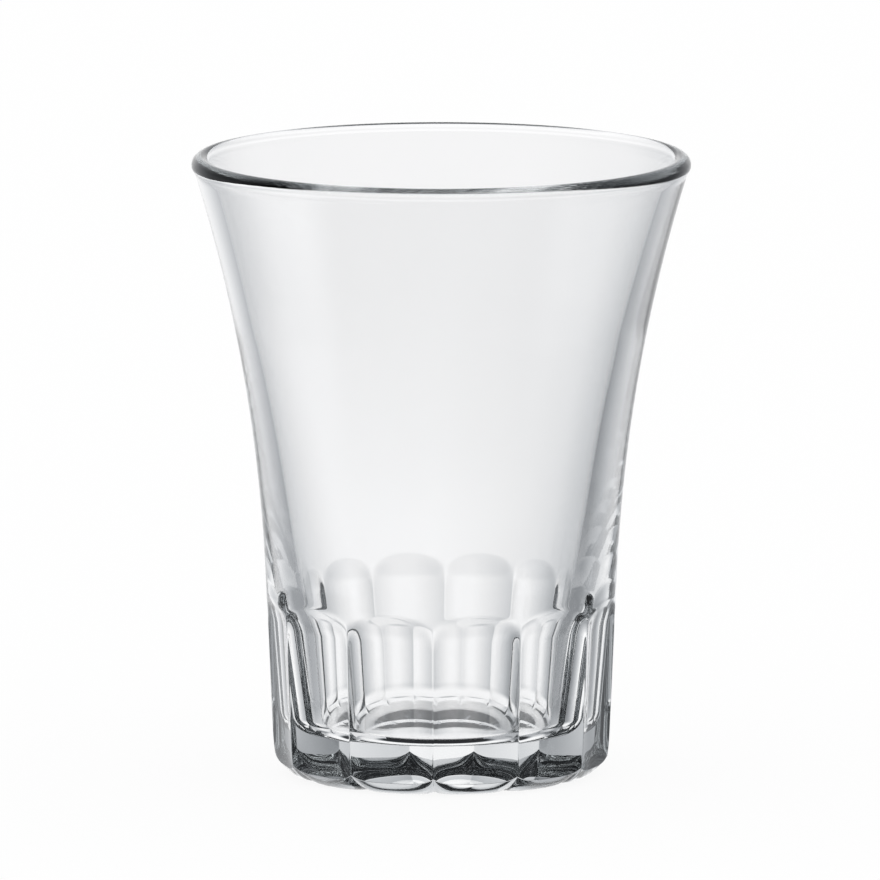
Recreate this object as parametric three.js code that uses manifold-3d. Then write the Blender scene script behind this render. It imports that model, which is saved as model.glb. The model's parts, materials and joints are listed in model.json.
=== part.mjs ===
// A flared drinking glass with a fluted lower wall, pressed from one gather of clear glass.
// Units are millimetres, +Z is up, and the origin is the middle of the foot on the table.
// The glass is drawn as its four moulded zones, stacked face to face and meeting on flat planes:
// the solid base, the fluted wall, the plain flared wall and the beaded rim.

import * as THREE from "three";
import { mergeVertices } from "three/addons/utils/BufferGeometryUtils.js";
import Module from "manifold-3d";

// Overall size
const HEIGHT = 100;
const RIM_DIAMETER = 80;

// Outer wall: a straight taper up to the waist, then one long arc out to the rim
const WAIST_HEIGHT = 32;
const WAIST_RADIUS = 28.15;
const TAPER = 0.0443;
const FLARE_RADIUS = 260.9;

// Rim: a round bead on top of the wall
const RIM_SEAM_HEIGHT = 96.5;
const BEAD_RADIUS = 1.5;
const BEAD_UNDERCUT = THREE.MathUtils.degToRad(60);

// Bowl: a straight cone on a flat floor, then an arc that follows the outer flare
const FLOOR_HEIGHT = 7.5;
const FLOOR_CORNER_RADIUS = 3;
const CONE_TOP_HEIGHT = 46;
const CONE_TOP_RADIUS = 24.65;
const CONE_SLOPE = 0.155;
const BOWL_FLARE_RADIUS = 360;

// Foot: a flat ring round a shallow hollow, rounded up to a crease at the wall
const FOOT_RING_RADIUS = 21.5;
const FOOT_CREASE_HEIGHT = 3.4;
const PUNT_RADIUS = 16;
const PUNT_DEPTH = 1.4;

// Flutes: shallow scooped panels that meet in sharp ridges and run out in arches
const FLUTE_COUNT = 12;
const FLUTE_RADIUS = 90;
const FLUTE_SPRING_HEIGHT = 25;
const FLUTE_RUNOUT_RADIUS = 8;
const RIDGE_INSET = 0.1;

// Fineness of the facets
const BODY_SIDES = 72;
const CUTTER_SIDES = 360;
const CURVE_STEPS = 4;

// Room that a cutting body has past what it cuts
const CUT_MARGIN = 10;

const wasm = await Module();
wasm.setup();

/** Radius of the straight outer taper at a height. */
function taperRadius(height) {
  return WAIST_RADIUS - TAPER * (WAIST_HEIGHT - height);
}

/** Radius of the bowl's cone at a height. */
function coneRadius(height) {
  return CONE_TOP_RADIUS - CONE_SLOPE * (CONE_TOP_HEIGHT - height);
}

/** Points up a wall that starts with a slope and bends outwards on an arc until it reaches a height. */
function flareArc(startRadius, startHeight, slope, arcRadius, endHeight) {
  const startLean = Math.atan(slope);
  const centreRadius = startRadius + arcRadius * Math.cos(startLean);
  const centreHeight = startHeight - arcRadius * Math.sin(startLean);
  const endLean = Math.asin((endHeight - centreHeight) / arcRadius);
  const arc = new THREE.Path();
  arc.absarc(centreRadius, centreHeight, arcRadius, Math.PI - startLean, Math.PI - endLean, true);
  const points = arc.getPoints(CURVE_STEPS);
  points[0].set(startRadius, startHeight);
  points.at(-1).y = endHeight;
  return points;
}

/** Points on part of a circle, from one angle to another, anticlockwise where the angle grows. */
function roundArc(centreRadius, centreHeight, arcRadius, startAngle, endAngle) {
  const arc = new THREE.Path();
  arc.absarc(centreRadius, centreHeight, arcRadius, startAngle, endAngle, endAngle < startAngle);
  return arc.getPoints(CURVE_STEPS);
}

/** Turns a profile of radius and height about +Z. */
function turned(profile, sides) {
  return new THREE.LatheGeometry(profile, sides).rotateX(Math.PI / 2);
}

/** A closed ring from its outer side, listed upwards, and its inner side, listed upwards too. */
function turnedRing(outer, inner) {
  return turned([...outer, ...inner.toReversed(), outer[0].clone()], BODY_SIDES);
}

/** The solid that a closed geometry bounds, with shared corners joined and collapsed triangles left out. */
function solidOf(geometry) {
  geometry.deleteAttribute("normal");
  geometry.deleteAttribute("uv");
  const joined = mergeVertices(geometry, 1e-4);
  const corners = joined.index.array;
  const triangles = [];
  for (let i = 0; i < corners.length; i += 3) {
    const [a, b, c] = corners.slice(i, i + 3);
    if (a !== b && b !== c && c !== a) triangles.push(a, b, c);
  }
  const vertProperties = new Float32Array(joined.attributes.position.array);
  const triVerts = new Uint32Array(triangles);
  return new wasm.Manifold(new wasm.Mesh({ numProp: 3, vertProperties, triVerts }));
}

/** The geometry of a solid's surface. */
function geometryOf(solid) {
  const mesh = solid.getMesh();
  const geometry = new THREE.BufferGeometry();
  geometry.setAttribute("position", new THREE.BufferAttribute(mesh.vertProperties, 3));
  geometry.setIndex(new THREE.BufferAttribute(mesh.triVerts, 1));
  return geometry;
}

/** The lower glass before fluting: foot, straight taper, bowl floor and the start of the bowl's cone. */
function lowerBlank() {
  const footRun = taperRadius(FOOT_CREASE_HEIGHT) - FOOT_RING_RADIUS;
  const footRounding = (footRun ** 2 + FOOT_CREASE_HEIGHT ** 2) / (2 * FOOT_CREASE_HEIGHT);
  const creaseAngle = Math.asin(footRun / footRounding) - Math.PI / 2;
  const cornerHeight = FLOOR_HEIGHT + FLOOR_CORNER_RADIUS;
  const coneLean = Math.atan(CONE_SLOPE);
  const cornerRadius = coneRadius(cornerHeight) - FLOOR_CORNER_RADIUS / Math.cos(coneLean);
  const foot = roundArc(FOOT_RING_RADIUS, footRounding, footRounding, -Math.PI / 2, creaseAngle);
  const corner = roundArc(cornerRadius, cornerHeight, FLOOR_CORNER_RADIUS, -coneLean, -Math.PI / 2);
  const profile = [
    new THREE.Vector2(0, PUNT_DEPTH),
    new THREE.Vector2(PUNT_RADIUS / 2, PUNT_DEPTH),
    new THREE.Vector2(PUNT_RADIUS, 0),
    ...foot,
    new THREE.Vector2(WAIST_RADIUS, WAIST_HEIGHT),
    new THREE.Vector2(coneRadius(WAIST_HEIGHT), WAIST_HEIGHT),
    ...corner,
    new THREE.Vector2(0, FLOOR_HEIGHT),
  ];
  return solidOf(turned(profile, BODY_SIDES));
}

/** How far from the glass's axis a flute's own axis stands, so that neighbours meet on the ridge. */
function fluteAxisDistance(height) {
  const halfPitch = Math.PI / FLUTE_COUNT;
  const ridge = taperRadius(height) - RIDGE_INSET;
  const halfChord = ridge * Math.sin(halfPitch);
  return ridge * Math.cos(halfPitch) + Math.sqrt(FLUTE_RADIUS ** 2 - halfChord ** 2);
}

/** The body that one flute takes away: a round puck with a rounded top edge, leaning with the taper. */
function fluteCutter(index) {
  const footDistance = fluteAxisDistance(0);
  const lean = Math.atan((fluteAxisDistance(FLUTE_SPRING_HEIGHT) - footDistance) / FLUTE_SPRING_HEIGHT);
  const edgeCentre = FLUTE_RADIUS - FLUTE_RUNOUT_RADIUS;
  const profile = [
    new THREE.Vector2(0, -CUT_MARGIN),
    new THREE.Vector2(FLUTE_RADIUS, -CUT_MARGIN),
    ...roundArc(edgeCentre, FLUTE_SPRING_HEIGHT, FLUTE_RUNOUT_RADIUS, 0, Math.PI / 2),
    new THREE.Vector2(0, FLUTE_SPRING_HEIGHT + FLUTE_RUNOUT_RADIUS),
  ];
  const pitch = (2 * Math.PI) / FLUTE_COUNT;
  const cutter = turned(profile, CUTTER_SIDES);
  cutter.rotateY(lean).translate(footDistance, 0, 0).rotateZ((index + 0.5) * pitch);
  return solidOf(cutter);
}

/** The fluted lower glass, split on the plane of the bowl's floor into the base and the wall above. */
function lowerZones() {
  let fluted = lowerBlank();
  for (let index = 0; index < FLUTE_COUNT; index += 1) {
    fluted = fluted.subtract(fluteCutter(index));
  }
  const slabHeight = FLOOR_HEIGHT + CUT_MARGIN;
  const slab = new THREE.CylinderGeometry(RIM_DIAMETER, RIM_DIAMETER, slabHeight, BODY_SIDES);
  slab.rotateX(Math.PI / 2).translate(0, 0, FLOOR_HEIGHT - slabHeight / 2);
  const belowFloor = solidOf(slab);
  return {
    base: geometryOf(fluted.intersect(belowFloor)),
    wall: geometryOf(fluted.subtract(belowFloor)),
  };
}

/** Outer and inner wall of the flare, both listed upwards from the waist to the rim's seam. */
function flaredSides() {
  const outer = flareArc(WAIST_RADIUS, WAIST_HEIGHT, TAPER, FLARE_RADIUS, RIM_SEAM_HEIGHT);
  const bowlArc = flareArc(CONE_TOP_RADIUS, CONE_TOP_HEIGHT, CONE_SLOPE, BOWL_FLARE_RADIUS, RIM_SEAM_HEIGHT);
  const inner = [new THREE.Vector2(coneRadius(WAIST_HEIGHT), WAIST_HEIGHT), ...bowlArc];
  return { outer, inner };
}

/** The bead, with the short walls that carry it on the flare. */
function rimGeometry(wallOuter, wallInner) {
  const beadCentre = RIM_DIAMETER / 2 - BEAD_RADIUS;
  const bead = roundArc(beadCentre, HEIGHT - BEAD_RADIUS, BEAD_RADIUS, -BEAD_UNDERCUT, Math.PI);
  return turnedRing([wallOuter.clone(), ...bead], [wallInner.clone()]);
}

/** Clear pressed glass, a little cool in the thick parts. */
function clearGlass() {
  return new THREE.MeshStandardMaterial({
    color: 0xe9eef0,
    roughness: 0.03,
    metalness: 0,
    transparent: true,
    opacity: 0.35,
  });
}

/** A named zone of the glass. */
function zone(name, geometry) {
  const mesh = new THREE.Mesh(geometry, clearGlass());
  mesh.name = name;
  return mesh;
}

const lower = lowerZones();
const flare = flaredSides();
const glass = new THREE.Group();
glass.name = "fluted_tumbler";
glass.add(
  zone("base", lower.base),
  zone("fluted_wall", lower.wall),
  zone("flared_wall", turnedRing(flare.outer, flare.inner)),
  zone("rim", rimGeometry(flare.outer.at(-1), flare.inner.at(-1))),
);

export default glass;
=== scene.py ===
"""A flared drinking glass with a fluted lower wall, in clear pressed glass, on a white sweep.

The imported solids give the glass's main sizes. One seamless body stands for all of them, because the
real glass is one piece: its outline and its flutes follow a rule that Geometry Nodes work out.
"""

import json
import logging
import math
from dataclasses import dataclass, fields
from enum import Enum, unique

import bpy
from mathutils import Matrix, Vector

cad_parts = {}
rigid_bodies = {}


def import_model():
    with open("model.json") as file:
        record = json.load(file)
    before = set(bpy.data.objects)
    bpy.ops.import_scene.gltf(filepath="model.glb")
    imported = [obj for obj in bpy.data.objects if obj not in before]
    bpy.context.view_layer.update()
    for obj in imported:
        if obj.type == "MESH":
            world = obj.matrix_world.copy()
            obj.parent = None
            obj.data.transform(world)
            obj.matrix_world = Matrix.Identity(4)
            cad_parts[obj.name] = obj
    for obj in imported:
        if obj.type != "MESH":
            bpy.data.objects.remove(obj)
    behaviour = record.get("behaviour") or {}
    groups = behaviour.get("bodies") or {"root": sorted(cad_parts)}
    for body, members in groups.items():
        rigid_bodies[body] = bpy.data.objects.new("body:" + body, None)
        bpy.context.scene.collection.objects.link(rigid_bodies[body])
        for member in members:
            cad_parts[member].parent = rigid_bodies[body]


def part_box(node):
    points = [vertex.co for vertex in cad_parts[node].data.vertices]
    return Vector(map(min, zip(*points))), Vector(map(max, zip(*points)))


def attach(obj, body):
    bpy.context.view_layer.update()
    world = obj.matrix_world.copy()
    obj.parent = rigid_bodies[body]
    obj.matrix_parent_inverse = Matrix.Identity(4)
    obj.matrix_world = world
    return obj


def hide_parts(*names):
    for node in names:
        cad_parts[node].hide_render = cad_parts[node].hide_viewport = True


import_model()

LOG = logging.getLogger("fluted_glass")
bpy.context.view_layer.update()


class Formula:
    """A number that Geometry Nodes work out for each vertex, written like ordinary arithmetic."""

    def __init__(self, tree: bpy.types.NodeTree, socket: bpy.types.NodeSocket) -> None:
        """Keeps the tree and the output socket that carries the number."""
        self.tree = tree
        self.socket = socket

    def made(self, operation: str, *values: "Formula | float") -> "Formula":
        """Adds one Math node.

        Args:
            operation: The Math node's operation, such as ADD.
            values: What goes into its inputs, in order.

        Returns:
            The node's result.
        """
        node = self.tree.nodes.new("ShaderNodeMath")
        node.operation = operation
        for entry, value in zip(node.inputs, values):
            if isinstance(value, Formula):
                self.tree.links.new(value.socket, entry)
            else:
                entry.default_value = value
        return Formula(self.tree, node.outputs[0])

    def __add__(self, other: "Formula | float") -> "Formula":
        """This number plus another."""
        return self.made("ADD", self, other)

    def __radd__(self, other: float) -> "Formula":
        """A plain number plus this one."""
        return self.made("ADD", other, self)

    def __sub__(self, other: "Formula | float") -> "Formula":
        """This number less another."""
        return self.made("SUBTRACT", self, other)

    def __rsub__(self, other: float) -> "Formula":
        """A plain number less this one."""
        return self.made("SUBTRACT", other, self)

    def __mul__(self, other: "Formula | float") -> "Formula":
        """This number times another."""
        return self.made("MULTIPLY", self, other)

    def __rmul__(self, other: float) -> "Formula":
        """A plain number times this one."""
        return self.made("MULTIPLY", other, self)

    def __truediv__(self, other: "Formula | float") -> "Formula":
        """This number divided by another."""
        return self.made("DIVIDE", self, other)

    def __rtruediv__(self, other: float) -> "Formula":
        """A plain number divided by this one."""
        return self.made("DIVIDE", other, self)

    def root(self) -> "Formula":
        """The square root."""
        return self.made("SQRT", self)

    def sine(self) -> "Formula":
        """The sine of an angle in radians."""
        return self.made("SINE", self)

    def cosine(self) -> "Formula":
        """The cosine of an angle in radians."""
        return self.made("COSINE", self)

    def arcsine(self) -> "Formula":
        """The angle in radians that has this sine."""
        return self.made("ARCSINE", self)

    def arctangent(self) -> "Formula":
        """The angle in radians that has this tangent."""
        return self.made("ARCTANGENT", self)

    def turn_from(self, ahead: "Formula") -> "Formula":
        """The angle in radians of a direction that goes this far across and so far ahead."""
        return self.made("ARCTAN2", self, ahead)

    def size(self) -> "Formula":
        """The number without its sign."""
        return self.made("ABSOLUTE", self)

    def whole(self) -> "Formula":
        """The whole number at or below this one."""
        return self.made("FLOOR", self)

    def at_least(self, other: "Formula | float") -> "Formula":
        """The larger of two numbers."""
        return self.made("MAXIMUM", self, other)

    def at_most(self, other: "Formula | float") -> "Formula":
        """The smaller of two numbers."""
        return self.made("MINIMUM", self, other)

    def soft_least(self, other: "Formula | float", softness: "Formula | float") -> "Formula":
        """The smaller of two numbers, with the corner between them rounded."""
        return self.made("SMOOTH_MIN", self, other, softness)

    def above(self, other: "Formula | float") -> "Formula":
        """One where this number is larger than the other, and nought elsewhere."""
        return self.made("GREATER_THAN", self, other)

    def towards(self, other: "Formula | float", share: "Formula | float") -> "Formula":
        """The number a share of the way from this one to another."""
        return self + (other - self) * share

    def between(self, start: float, end: float) -> "Formula":
        """The number that lies between two others where this one is the share of the way."""
        return start + (end - start) * self

    def ramp(self, start: "Formula | float", end: "Formula | float") -> "Formula":
        """Nought below the start, one above the end, and a straight rise between them."""
        return ((self - start) / (end - start)).at_least(0.0).at_most(1.0)

    def step(self, start: "Formula | float", end: "Formula | float") -> "Formula":
        """Nought below the start, one above the end, and a smooth rise between them."""
        share = self.ramp(start, end)
        return share * share * (3.0 - 2.0 * share)


@dataclass
class GlassBody:
    """The whole glass: its sizes in metres, and the rule that shapes it.

    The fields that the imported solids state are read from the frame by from_frame.
    """

    height: float
    rim_radius: float
    waist_height: float
    waist_radius: float
    floor_height: float

    # Outer wall: a straight taper up to the waist, then one long arc to the neck under the bead
    taper: float = 0.0443
    flare_radius: float = 0.2609
    bead_radius: float = 0.0015
    neck_height: float = 0.0965

    # Bowl: a flat floor, a rounded corner, a cone, an arc and the lip that opens to the bead
    corner_radius: float = 0.003
    cone_top_height: float = 0.046
    cone_top_radius: float = 0.02465
    cone_slope: float = 0.155
    bowl_flare_radius: float = 0.360
    lip_height: float = 0.086
    bowl_shift: float = -0.00047

    # Hollow under the foot
    hollow_radius: float = 0.016
    hollow_depth: float = 0.0014

    # Flutes: scooped panels that run out in arches
    flute_count: float = 12.0
    flute_depth: float = 0.00125
    spring_height: float = 0.025
    runout_radius: float = 0.008
    ridge_softness: float = 0.0001
    arch_softness: float = 0.0006

    # Foot: the ridges are worn near it, and its edge is cut further in at each ridge
    tuck_height: float = 0.0065
    tuck_radius: float = 0.030
    ridge_contact: float = 0.0195
    ridge_crease: float = 0.0030
    flute_contact: float = 0.0224
    flute_crease: float = 0.0020

    @classmethod
    def from_frame(cls) -> "GlassBody":
        """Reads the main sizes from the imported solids.

        Returns:
            The glass, with its other sizes at their defaults.
        """
        rim_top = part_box("rim")[1]
        waist_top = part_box("fluted_wall")[1]
        base_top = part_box("base")[1]
        return cls(
            height=rim_top[2],
            rim_radius=rim_top[0],
            waist_height=waist_top[2],
            waist_radius=waist_top[0],
            floor_height=base_top[2],
        )

    def build(self, material: bpy.types.Material) -> bpy.types.Object:
        """Makes the glass as one closed mesh.

        Args:
            material: The finished glass material.

        Returns:
            The object, at the origin, with a plain mesh.
        """
        tree = GlassRule(self, material).tree
        piece = bpy.data.objects.new("glass_body", bpy.data.meshes.new("glass_body"))
        bpy.context.scene.collection.objects.link(piece)
        modifier = piece.modifiers.new("shape", "NODES")
        modifier.node_group = tree
        sizes = {self.input_name(size.name): getattr(self, size.name) for size in fields(self)}
        for item in tree.interface.items_tree:
            if item.name in sizes:
                modifier[item.identifier] = sizes[item.name]
        shaped = piece.evaluated_get(bpy.context.evaluated_depsgraph_get())
        mesh = bpy.data.meshes.new_from_object(shaped)
        piece.modifiers.remove(modifier)
        mesh.materials.clear()
        mesh.materials.append(material)
        mesh.polygons.foreach_set("material_index", [0] * len(mesh.polygons))
        piece.data = mesh
        mesh.name = "glass_body"
        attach(piece, "root")
        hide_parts("base", "fluted_wall", "flared_wall", "rim")
        LOG.info("glass_body: %d faces", len(mesh.polygons))
        return piece

    @staticmethod
    def input_name(size_name: str) -> str:
        """The name that a size has among the node tree's inputs."""
        return size_name.replace("_", " ").title()


@unique
class Stretch(Enum):
    """The outline's stretches from under the foot to the bowl's floor, with their rows of faces."""

    HOLLOW = 10
    FOOT_RING = 4
    FOOT_BEVEL = 16
    FLUTES = 14
    ARCHES = 40
    FLARE = 38
    NECK = 12
    BEAD = 24
    BOWL_FLARE = 41
    CONE = 13
    CORNER = 15
    FLOOR = 9


class GlassRule:
    """The Geometry Nodes tree that shapes the glass from a flat grid of rows and columns."""

    COLUMNS_PER_FLUTE = 24
    SEAM_TOLERANCE = 1e-6

    # The bead's round, as angles from level outwards, and how the scoop's curve steepens at a ridge
    BEAD_START = math.radians(-40)
    BEAD_END = math.radians(156.5)
    SCOOP_FOURTH_POWER = 0.12

    # Heights kept below and above the arches, the rise that softens them, and the share of the bowl's
    # flare over which the bowl drifts off the axis
    ARCH_MARGIN = 0.0015
    SOFT_RISE = 0.004
    SHIFT_SHARE = 0.5

    def __init__(self, sizes: GlassBody, material: bpy.types.Material) -> None:
        """Builds the tree.

        Args:
            sizes: The glass, whose size names become the tree's inputs.
            material: What the surface is made of.
        """
        self.tree = bpy.data.node_groups.new("glass_rule", "GeometryNodeTree")
        self.size: dict[str, Formula] = {}
        self.add_inputs(sizes)
        rows = sum(stretch.value for stretch in Stretch)
        columns = int(sizes.flute_count) * self.COLUMNS_PER_FLUTE
        grid = self.tree.nodes.new("GeometryNodeMeshGrid")
        grid.inputs["Vertices X"].default_value = columns + 1
        grid.inputs["Vertices Y"].default_value = rows + 1
        index = Formula(self.tree, self.tree.nodes.new("GeometryNodeInputIndex").outputs[0])
        column = ((index + 0.5) / float(rows + 1)).whole()
        self.row = index - column * float(rows + 1)
        self.set_out_columns(column)
        radius, height = self.outline()
        self.finish_mesh(grid.outputs["Mesh"], radius, height, material)

    def add_inputs(self, sizes: GlassBody) -> None:
        """Gives the tree one named input for each size.

        Args:
            sizes: The glass that names the inputs.
        """
        names = {size.name: sizes.input_name(size.name) for size in fields(sizes)}
        for name in names.values():
            self.tree.interface.new_socket(name, in_out="INPUT", socket_type="NodeSocketFloat")
        self.tree.interface.new_socket("Glass", in_out="OUTPUT", socket_type="NodeSocketGeometry")
        entry = self.tree.nodes.new("NodeGroupInput")
        for size_name, name in names.items():
            self.size[size_name] = Formula(self.tree, entry.outputs[name])

    def set_out_columns(self, column: Formula) -> None:
        """Works out each column's angle and how far up its scoop it lies.

        The columns stand closer together at the ridges.

        Args:
            column: The vertex's column, from nought.
        """
        flute = (column / float(self.COLUMNS_PER_FLUTE)).whole()
        place = column / float(self.COLUMNS_PER_FLUTE) - flute
        across = ((place * 2.0 - 1.0) * (math.pi / 2)).sine()
        pitch = 2 * math.pi / self.size["flute_count"]
        self.angle = pitch * (flute + (across + 1.0) * 0.5) - math.pi / 2
        near = across.size()
        softness = self.size["ridge_softness"] / self.size["flute_depth"]
        self.scoop = self.scoop_share(near).soft_least(self.scoop_share(2.0 - near), softness)

    def scoop_share(self, across: Formula) -> Formula:
        """How much of the flute's depth is filled, from nought at its middle to one at the ridge.

        Args:
            across: The place across the flute, nought at its middle and one at the ridge.

        Returns:
            The share of the depth.
        """
        square = across * across
        return square * (1.0 - self.SCOOP_FOURTH_POWER) + square * square * self.SCOOP_FOURTH_POWER

    def along(self, stretch: Stretch) -> Formula:
        """How far the vertex's row lies along a stretch, from nought to one.

        Args:
            stretch: The stretch of the outline.

        Returns:
            The share of the stretch.
        """
        share = (self.row - self.first_row(stretch)) / float(stretch.value)
        return share.at_least(0.0).at_most(1.0)

    @staticmethod
    def first_row(stretch: Stretch) -> float:
        """The row where a stretch starts."""
        before = list(Stretch)[: list(Stretch).index(stretch)]
        return float(sum(earlier.value for earlier in before))

    @staticmethod
    def arc_radius(
        height: Formula,
        start: tuple[Formula, Formula],
        slope: Formula,
        bend: Formula,
    ) -> Formula:
        """The radius, at a height, of a wall that bends outwards on an arc.

        Args:
            height: The height asked for.
            start: The radius and height where the arc starts.
            slope: The wall's slope there, in radius per height.
            bend: The arc's own radius.

        Returns:
            The wall's radius.
        """
        lean = (slope * slope + 1.0).root()
        centre_radius = start[0] + bend / lean
        centre_height = start[1] - bend * slope / lean
        rise = height - centre_height
        return centre_radius - (bend * bend - rise * rise).root()

    def outer_wall(self, height: Formula) -> Formula:
        """The plain outer wall's radius at a height: straight below the waist, an arc above it.

        Args:
            height: The height asked for.

        Returns:
            The radius.
        """
        above_waist = height.at_least(self.size["waist_height"])
        start = (self.size["waist_radius"], self.size["waist_height"])
        arc = self.arc_radius(above_waist, start, self.size["taper"], self.size["flare_radius"])
        below = (self.size["waist_height"] - height).at_least(0.0)
        return arc - self.size["taper"] * below

    def bowl_arc(self, height: Formula) -> Formula:
        """The bowl's radius at a height without the lip: a cone below, an arc above it.

        Args:
            height: The height asked for.

        Returns:
            The radius.
        """
        above_cone = height.at_least(self.size["cone_top_height"])
        start = (self.size["cone_top_radius"], self.size["cone_top_height"])
        slope = self.size["cone_slope"]
        arc = self.arc_radius(above_cone, start, slope, self.size["bowl_flare_radius"])
        below = (self.size["cone_top_height"] - height).at_least(0.0)
        return arc - slope * below

    def bowl_wall(self, height: Formula) -> Formula:
        """The bowl's radius at a height, opening towards the bead above the lip's height.

        Args:
            height: The height asked for.

        Returns:
            The radius.
        """
        size = self.size
        top_radius = size["rim_radius"] + size["bead_radius"] * (math.cos(self.BEAD_END) - 1.0)
        top_height = size["height"] + size["bead_radius"] * (math.sin(self.BEAD_END) - 1.0)
        share = (height - size["lip_height"]).at_least(0.0) / (top_height - size["lip_height"])
        return self.bowl_arc(height) + (top_radius - self.bowl_arc(top_height)) * share * share

    def fluted_wall(self, height: Formula) -> Formula:
        """The outer radius where the wall is scooped into flutes that run out in arches above.

        Args:
            height: The height asked for.

        Returns:
            The radius at the vertex's angle.
        """
        wall = self.outer_wall(height)
        bend = self.size["runout_radius"]
        rise = (height - self.size["spring_height"]).at_least(0.0).at_most(bend)
        runout = bend - (bend * bend - rise * rise).root()
        tuck = (self.size["tuck_height"] - height).at_least(0.0)
        worn = tuck * tuck / (self.size["tuck_radius"] * 2.0) * self.scoop * self.scoop
        flute = wall - self.size["flute_depth"] * (1.0 - self.scoop) + runout - worn
        soft_start = self.size["spring_height"] - self.SOFT_RISE * 0.5
        softness = self.size["arch_softness"] * height.step(soft_start, soft_start + self.SOFT_RISE)
        return wall.soft_least(flute, softness)

    def outline(self) -> tuple[Formula, Formula]:
        """Joins the stretches of the outline.

        Returns:
            The vertex's radius and height.
        """
        pieces = self.foot_stretches() + self.wall_stretches()
        pieces += self.rim_stretches() + self.bowl_stretches()
        radius, height = pieces[0]
        for stretch, (next_radius, next_height) in zip(list(Stretch)[1:], pieces[1:]):
            here = self.row.above(self.first_row(stretch))
            radius = radius.towards(next_radius, here)
            height = height.towards(next_height, here)
        return radius, height

    def foot_stretches(self) -> list[tuple[Formula, Formula | float]]:
        """The hollow under the foot, the ring it stands on and the rounding up into the flutes.

        Returns:
            The radius and height of each stretch, in the outline's order.
        """
        size = self.size
        part = self.along(Stretch.HOLLOW)
        hollow_share = ((part * math.pi).cosine() + 1.0) * 0.5
        hollow = (size["hollow_radius"] * part, size["hollow_depth"] * hollow_share)
        notch = self.scoop * self.scoop
        contact = size["flute_contact"].towards(size["ridge_contact"], notch)
        ring = (size["hollow_radius"].towards(contact, self.along(Stretch.FOOT_RING)), 0.0)
        self.crease = size["flute_crease"].towards(size["ridge_crease"], notch)
        share = (self.along(Stretch.FOOT_BEVEL) * (math.pi / 2)).sine()
        bevel = (contact.towards(self.fluted_wall(self.crease), share), self.crease * share * share)
        return [hollow, ring, bevel]

    def wall_stretches(self) -> list[tuple[Formula, Formula]]:
        """The flutes, their arched tops and the plain flare up to the neck under the bead.

        Returns:
            The radius and height of each stretch, in the outline's order.
        """
        size = self.size
        arch_start = size["spring_height"] - self.ARCH_MARGIN
        arch_end = size["waist_height"] - self.ARCH_MARGIN * 0.5
        up_flute = self.along(Stretch.FLUTES)
        flute_height = self.crease.towards(arch_start, up_flute * up_flute)
        arch_height = arch_start.towards(arch_end, self.along(Stretch.ARCHES))
        flare_height = arch_end.towards(size["neck_height"], self.along(Stretch.FLARE))
        return [
            (self.fluted_wall(flute_height), flute_height),
            (self.fluted_wall(arch_height), arch_height),
            (self.outer_wall(flare_height), flare_height),
        ]

    def rim_stretches(self) -> list[tuple[Formula, Formula]]:
        """The short hollow curve under the bead, and the bead round to the bowl.

        Returns:
            The radius and height of each stretch, in the outline's order.
        """
        size = self.size
        bead_radius = size["rim_radius"] - size["bead_radius"]
        bead_height = size["height"] - size["bead_radius"]
        start_radius = bead_radius + size["bead_radius"] * math.cos(self.BEAD_START)
        start_height = bead_height + size["bead_radius"] * math.sin(self.BEAD_START)
        share = self.along(Stretch.NECK)
        neck_height = size["neck_height"].towards(start_height, share)
        wall = self.outer_wall(neck_height)
        stand_off = start_radius - self.outer_wall(start_height)
        neck = (wall + stand_off * share * share, neck_height)
        turn = self.BEAD_START + (self.BEAD_END - self.BEAD_START) * self.along(Stretch.BEAD)
        bead = (
            bead_radius + size["bead_radius"] * turn.cosine(),
            bead_height + size["bead_radius"] * turn.sine(),
        )
        self.bowl_top = bead_height + size["bead_radius"] * math.sin(self.BEAD_END)
        return [neck, bead]

    def bowl_stretches(self) -> list[tuple[Formula, Formula]]:
        """The bowl from the bead down its flare and cone, round the corner and across the floor.

        Returns:
            The radius and height of each stretch, in the outline's order.
        """
        size = self.size
        lean = (size["cone_slope"] * size["cone_slope"] + 1.0).root()
        corner_height = size["floor_height"] + size["corner_radius"]
        corner_radius = self.bowl_wall(corner_height) - size["corner_radius"] * lean
        cone_foot = corner_height - size["corner_radius"] * size["cone_slope"] / lean
        flare_height = self.bowl_top.towards(size["cone_top_height"], self.along(Stretch.BOWL_FLARE))
        cone_height = size["cone_top_height"].towards(cone_foot, self.along(Stretch.CONE))
        turn = size["cone_slope"].arctangent().towards(math.pi / 2, self.along(Stretch.CORNER))
        corner = (
            corner_radius + size["corner_radius"] * turn.cosine(),
            corner_height - size["corner_radius"] * turn.sine(),
        )
        floor_radius = corner_radius * (1.0 - self.along(Stretch.FLOOR))
        return [
            (self.bowl_wall(flare_height), flare_height),
            (self.bowl_wall(cone_height), cone_height),
            corner,
            (floor_radius, size["floor_height"]),
        ]

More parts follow.
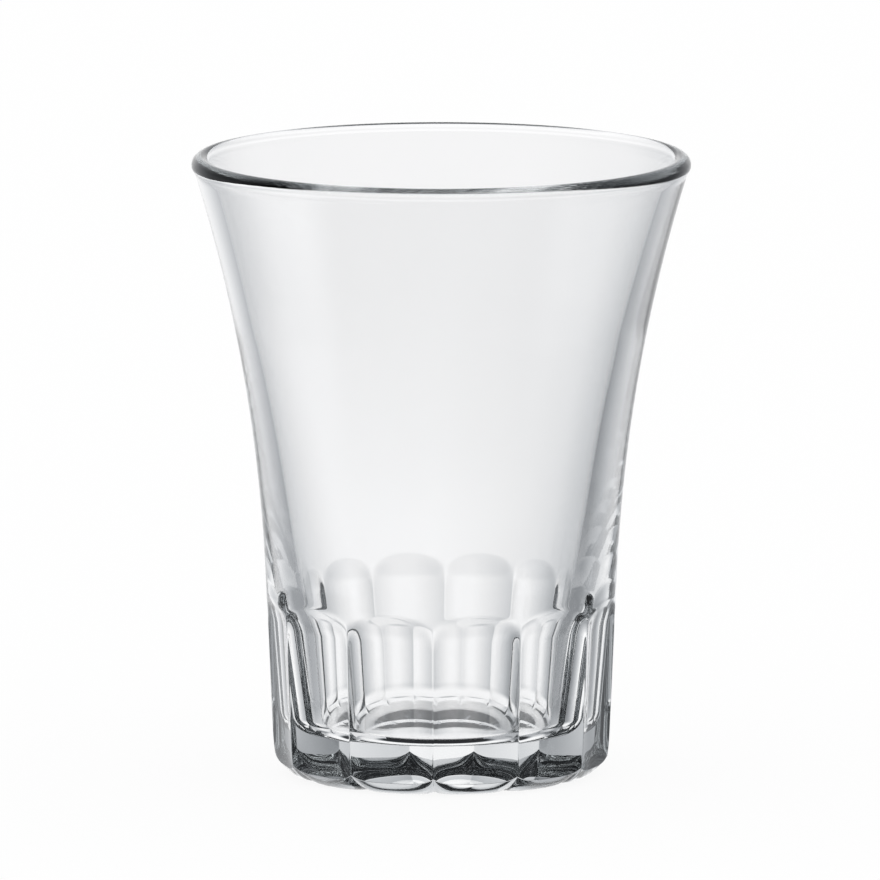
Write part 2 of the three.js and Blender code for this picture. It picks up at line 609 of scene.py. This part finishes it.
    def finish_mesh(
        self,
        grid: bpy.types.NodeSocket,
        radius: Formula,
        height: Formula,
        material: bpy.types.Material,
    ) -> None:
        """Rolls the grid up into the glass, closes its seams and gives it its material.

        Args:
            grid: The flat grid.
            radius: Each vertex's distance from the axis.
            height: Each vertex's height.
            material: What the surface is made of.
        """
        nodes, links = self.tree.nodes, self.tree.links
        point = nodes.new("ShaderNodeCombineXYZ")
        bowl_share = (self.along(Stretch.BOWL_FLARE) / self.SHIFT_SHARE).at_most(1.0)
        across = radius * self.angle.cosine() + self.size["bowl_shift"] * bowl_share
        links.new(across.socket, point.inputs["X"])
        links.new((radius * self.angle.sine()).socket, point.inputs["Y"])
        links.new(height.socket, point.inputs["Z"])
        rolled = nodes.new("GeometryNodeSetPosition")
        links.new(grid, rolled.inputs["Geometry"])
        links.new(point.outputs["Vector"], rolled.inputs["Position"])
        closed = nodes.new("GeometryNodeMergeByDistance")
        closed.inputs["Distance"].default_value = self.SEAM_TOLERANCE
        smooth = nodes.new("GeometryNodeSetShadeSmooth")
        real = nodes.new("GeometryNodeRealizeInstances")
        dressed = nodes.new("GeometryNodeSetMaterial")
        dressed.inputs["Material"].default_value = material
        leave = nodes.new("NodeGroupOutput")
        chain = [rolled, closed, smooth, real, dressed, leave]
        for earlier, later in zip(chain, chain[1:]):
            links.new(earlier.outputs[0], later.inputs[0])


@dataclass(frozen=True)
class ClearGlass:
    """Clear pressed glass, fire-polished, with the faint ripple that the mould leaves."""

    ior: float = 1.52
    tint: tuple[float, float, float] = (0.996, 0.998, 1.0)
    absorbed: tuple[float, float, float] = (0.90, 0.955, 0.965)
    absorption: float = 4.0
    ripple_scale: float = 55.0
    ripple_detail: float = 1.0
    ripple_strength: float = 0.008
    ripple_height: float = 0.001

    def material(self) -> bpy.types.Material:
        """Makes the material.

        Returns:
            The glass, with its ripple on Object coordinates.
        """
        glass = bpy.data.materials.new("clear_glass")
        glass.use_nodes = True
        nodes, links = glass.node_tree.nodes, glass.node_tree.links
        shader = nodes["Principled BSDF"]
        shader.inputs["Base Color"].default_value = (*self.tint, 1.0)
        shader.inputs["Roughness"].default_value = 0.0
        shader.inputs["IOR"].default_value = self.ior
        shader.inputs["Transmission Weight"].default_value = 1.0
        place = nodes.new("ShaderNodeTexCoord")
        ripple = nodes.new("ShaderNodeTexNoise")
        ripple.inputs["Scale"].default_value = self.ripple_scale
        ripple.inputs["Detail"].default_value = self.ripple_detail
        bump = nodes.new("ShaderNodeBump")
        bump.inputs["Strength"].default_value = self.ripple_strength
        bump.inputs["Distance"].default_value = self.ripple_height
        links.new(place.outputs["Object"], ripple.inputs["Vector"])
        links.new(ripple.outputs["Fac"], bump.inputs["Height"])
        links.new(bump.outputs["Normal"], shader.inputs["Normal"])
        depth = nodes.new("ShaderNodeVolumeAbsorption")
        depth.inputs["Color"].default_value = (*self.absorbed, 1.0)
        depth.inputs["Density"].default_value = self.absorption
        links.new(depth.outputs["Volume"], nodes["Material Output"].inputs["Volume"])
        return glass


@dataclass(frozen=True)
class WhitePaper:
    """The paper under the glass: its own glow keeps it white, and its shading keeps a soft shadow."""

    shading: float = 0.08

    def material(self) -> bpy.types.Material:
        """Makes the material.

        Returns:
            The paper, matt and white.
        """
        paper = bpy.data.materials.new("white_sweep")
        paper.use_nodes = True
        nodes, links = paper.node_tree.nodes, paper.node_tree.links
        matt = nodes["Principled BSDF"]
        matt.inputs["Base Color"].default_value = (1.0, 1.0, 1.0, 1.0)
        matt.inputs["Roughness"].default_value = 1.0
        matt.inputs["Specular IOR Level"].default_value = 0.0
        glow = nodes.new("ShaderNodeEmission")
        mixed = nodes.new("ShaderNodeMixShader")
        mixed.inputs["Fac"].default_value = 1.0 - self.shading
        links.new(matt.outputs[0], mixed.inputs[1])
        links.new(glow.outputs[0], mixed.inputs[2])
        links.new(mixed.outputs[0], nodes["Material Output"].inputs["Surface"])
        return paper


@dataclass
class Studio:
    """The white sweep, the light round it and the camera."""

    camera_distance: float = 6.6
    camera_elevation: float = math.radians(8.36)
    camera_azimuth: float = math.radians(2.8)
    view_width: float = 0.14095
    aim_height: float = 0.05395
    aim_side: float = -0.0002
    camera_reach: float = 100.0
    floor_reach: float = 6.0
    light_bounces: int = 24

    def build(self) -> None:
        """Sets out the camera, the floor and the light."""
        cycles = bpy.context.scene.cycles
        cycles.max_bounces = self.light_bounces
        cycles.transmission_bounces = self.light_bounces
        cycles.glossy_bounces = self.light_bounces
        self.set_camera()
        self.lay_floor()
        LightTent().light()

    def set_camera(self) -> None:
        """Puts a long lens at the height and turn that the glass is seen from."""
        lens = bpy.data.cameras.new("camera")
        lens.angle = 2 * math.atan(self.view_width / 2 / self.camera_distance)
        lens.clip_end = self.camera_reach
        camera = bpy.data.objects.new("camera", lens)
        level = self.camera_distance * math.cos(self.camera_elevation)
        aim = Vector((self.aim_side, 0.0, self.aim_height))
        offset = Vector((
            level * math.sin(self.camera_azimuth),
            -level * math.cos(self.camera_azimuth),
            self.camera_distance * math.sin(self.camera_elevation),
        ))
        camera.location = aim + offset
        camera.rotation_euler = (-offset).to_track_quat("-Z", "Y").to_euler()
        bpy.context.scene.collection.objects.link(camera)
        bpy.context.scene.camera = camera

    def lay_floor(self) -> None:
        """Lays the white floor. In the glass, the light tent takes its place."""
        low, high = -self.floor_reach, self.floor_reach
        mesh = bpy.data.meshes.new("floor")
        corners = [(low, low, 0.0), (high, low, 0.0), (high, high, 0.0), (low, high, 0.0)]
        mesh.from_pydata(corners, [], [(0, 1, 2, 3)])
        mesh.materials.append(WhitePaper().material())
        floor = bpy.data.objects.new("floor", mesh)
        bpy.context.scene.collection.objects.link(floor)
        floor.visible_transmission = False
        floor.visible_glossy = False


@dataclass(frozen=True)
class Ramp:
    """Where the light starts to change and where it has changed, in degrees."""

    start: float
    end: float

    def smooth(self, angle: Formula) -> Formula:
        """Nought before the start, one past the end, and a smooth rise between them."""
        return angle.step(self.start, self.end)

    def straight(self, angle: Formula) -> Formula:
        """Nought before the start, one past the end, and a straight rise between them."""
        return angle.ramp(self.start, self.end)


@dataclass(frozen=True)
class LightTent:
    """The soft light round the glass, by direction, in levels where one is white.

    It is bright behind the glass, falls off to both sides and is dark in front, overhead and straight
    below. The dark front shows only in light that the glass reflects, so that the glass is clear from
    every side. Each fall or rise says over which degrees one level gives way to the next.
    """

    # Tints of the dim and of the bright light
    cool: tuple[float, float, float] = (0.87, 0.93, 1.0)
    warm: tuple[float, float, float] = (0.998, 0.996, 1.0)

    # Wall behind the glass, a little brighter low down, and its two sides
    low_level: float = 1.09
    low_fall: Ramp = Ramp(9.0, 14.0)
    dim_share: float = 0.92
    dim_fall: Ramp = Ramp(15.0, 23.0)
    left_level: float = 0.36
    left_fall: Ramp = Ramp(8.0, 50.0)
    right_level: float = 0.28
    right_fall: Ramp = Ramp(-2.0, 43.0)

    # Front, as the glass reflects it and as it is seen straight through
    front_level: float = 0.03
    front_fall: Ramp = Ramp(70.0, 100.0)
    clear_level: float = 0.95
    clear_rise: Ramp = Ramp(55.0, 85.0)

    # Overhead
    sky_share: float = 0.72
    sky_fall: Ramp = Ramp(3.0, 15.0)
    top_level: float = 0.015
    top_fall: Ramp = Ramp(40.0, 52.0)

    # Ground behind, at the sides and in front of the glass, and straight below it
    ground_back: float = 1.1
    ground_left: float = 0.85
    ground_right: float = 0.5
    ground_side: Ramp = Ramp(25.0, 65.0)
    ground_front: float = 0.04
    ground_front_fall: Ramp = Ramp(100.0, 125.0)
    ground_fall: Ramp = Ramp(22.0, 34.0)
    under_level: float = 0.03
    under_fall: Ramp = Ramp(47.0, 60.0)

    def light(self) -> None:
        """Makes the world that holds the light."""
        world = bpy.data.worlds.new("light_tent")
        world.use_nodes = True
        bpy.context.scene.world = world
        tree = world.node_tree
        shine = tree.nodes["Background"]
        way = tree.nodes.new("ShaderNodeSeparateXYZ")
        tree.links.new(tree.nodes.new("ShaderNodeTexCoord").outputs["Generated"], way.inputs[0])
        east, north, up = (Formula(tree, way.outputs[name]) for name in ("X", "Y", "Z"))
        turn = east.turn_from(north) * math.degrees(1.0)
        rise = up.arcsine() * math.degrees(1.0)
        path = tree.nodes.new("ShaderNodeLightPath")
        mirrored = Formula(tree, path.outputs["Glossy Depth"]).at_most(1.0)
        level = self.level(turn, rise, mirrored)
        seen = Formula(tree, path.outputs["Is Camera Ray"])
        plain = seen.at_least(Formula(tree, path.outputs["Is Diffuse Ray"]))
        tree.links.new(level.towards(1.0, plain).socket, shine.inputs["Strength"])
        colour = tree.nodes.new("ShaderNodeMix")
        colour.data_type = "RGBA"
        tree.links.new(level.at_least(plain).at_most(1.0).socket, colour.inputs["Factor"])
        colour.inputs["A"].default_value = (*self.cool, 1.0)
        colour.inputs["B"].default_value = (*self.warm, 1.0)
        tree.links.new(colour.outputs["Result"], shine.inputs["Color"])

    def level(self, turn: Formula, rise: Formula, mirrored: Formula) -> Formula:
        """How bright the tent is in a direction.

        Args:
            turn: Degrees round from straight behind the glass, positive to the right.
            rise: Degrees above the horizon.
            mirrored: One for light that the glass reflects, nought for light seen through it.

        Returns:
            The brightness, where one is white.
        """
        clear = self.clear_rise.smooth(turn.size()) * (1.0 - mirrored)
        wall = self.wall_level(turn, rise, mirrored).towards(self.clear_level, clear)
        wall = wall * self.sky_fall.smooth(rise).between(1.0, self.sky_share)
        wall = wall.towards(self.top_level, self.top_fall.smooth(rise))
        ground = self.ground_level(turn, mirrored).towards(self.clear_level, clear)
        fall = rise * -1.0
        ground = ground.towards(self.under_level, self.under_fall.smooth(fall))
        return wall.towards(ground, self.ground_fall.smooth(fall))

    def wall_level(self, turn: Formula, rise: Formula, mirrored: Formula) -> Formula:
        """How bright the tent's wall is at its back, its two sides and its front.

        Args:
            turn: Degrees round from straight behind the glass, positive to the right.
            rise: Degrees above the horizon.
            mirrored: One for light that the glass reflects, nought for light seen through it.

        Returns:
            The brightness, before the clear sides and what is overhead.
        """
        fall = rise * -1.0
        wall = self.low_fall.smooth(fall).between(1.0, self.low_level)
        wall = wall * self.dim_fall.smooth(fall).between(1.0, self.dim_share)
        wall = wall.towards(self.left_level, self.left_fall.straight(turn * -1.0))
        wall = wall.towards(self.right_level, self.right_fall.straight(turn))
        return wall.towards(self.front_level, self.front_fall.smooth(turn.size()) * mirrored)

    def ground_level(self, turn: Formula, mirrored: Formula) -> Formula:
        """How bright the ground is behind the glass, at its two sides and in front of it.

        Args:
            turn: Degrees round from straight behind the glass, positive to the right.
            mirrored: One for light that the glass reflects, nought for light seen through it.

        Returns:
            The brightness, before the clear sides and what is straight below.
        """
        to_left = self.ground_side.straight(turn * -1.0)
        ground = to_left.between(self.ground_back, self.ground_left)
        ground = ground.towards(self.ground_right, self.ground_side.straight(turn))
        in_front = self.ground_front_fall.smooth(turn.size()) * mirrored
        return ground.towards(self.ground_front, in_front)


def main() -> None:
    """Builds the glass and the studio."""
    logging.basicConfig(level=logging.INFO, format="%(name)s: %(message)s")
    bpy.context.scene.view_settings.view_transform = "Standard"
    GlassBody.from_frame().build(ClearGlass().material())
    Studio().build()


if __name__ == "__main__":
    main()
